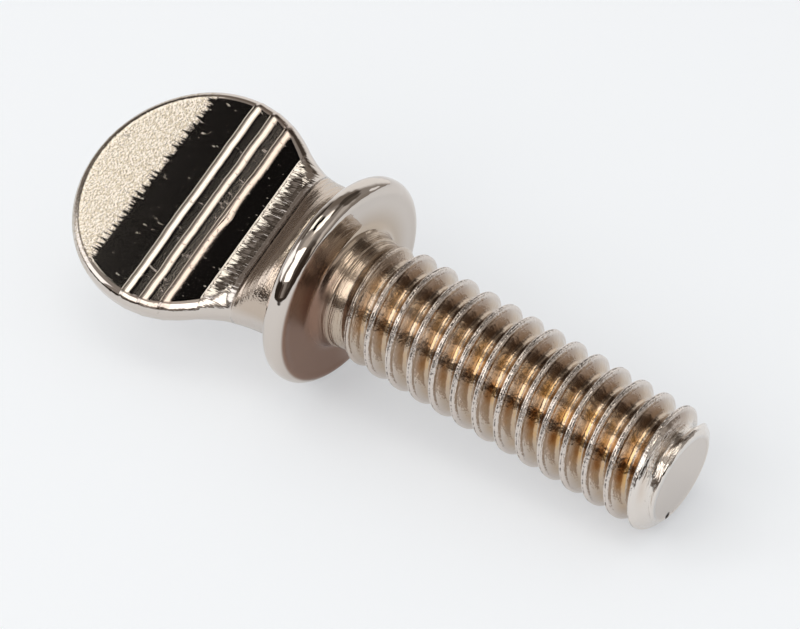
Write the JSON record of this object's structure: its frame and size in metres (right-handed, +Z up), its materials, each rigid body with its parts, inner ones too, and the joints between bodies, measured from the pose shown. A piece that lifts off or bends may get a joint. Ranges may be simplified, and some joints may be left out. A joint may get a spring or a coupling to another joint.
{
  "type": "thumb screw",
  "caption": "Nickel plated thumb screw with a flat round spade head, cross ribs for grip, a thin round collar and a coarse right-hand threaded shank, lying on its side.",
  "frame": {"origin": "centre of the bounding box, at the level of the surface the screw lies on", "axes": "+X along the shank toward its point, seen from above; +Y to the left of that; +Z up. The shank axis drops toward the point by about 6.9 degrees, because the screw lies on its collar rim and its last full thread crest"},
  "size_m": [0.0347, 0.0114, 0.0107],
  "materials": {
    "nickel_plate": "bright nickel plating over cold-formed steel, warm grey, fine draw lines and small nicks"
  },
  "bodies": {
    "root": {"thumb_screw": "nickel_plate"}
  },
  "joints": []
}
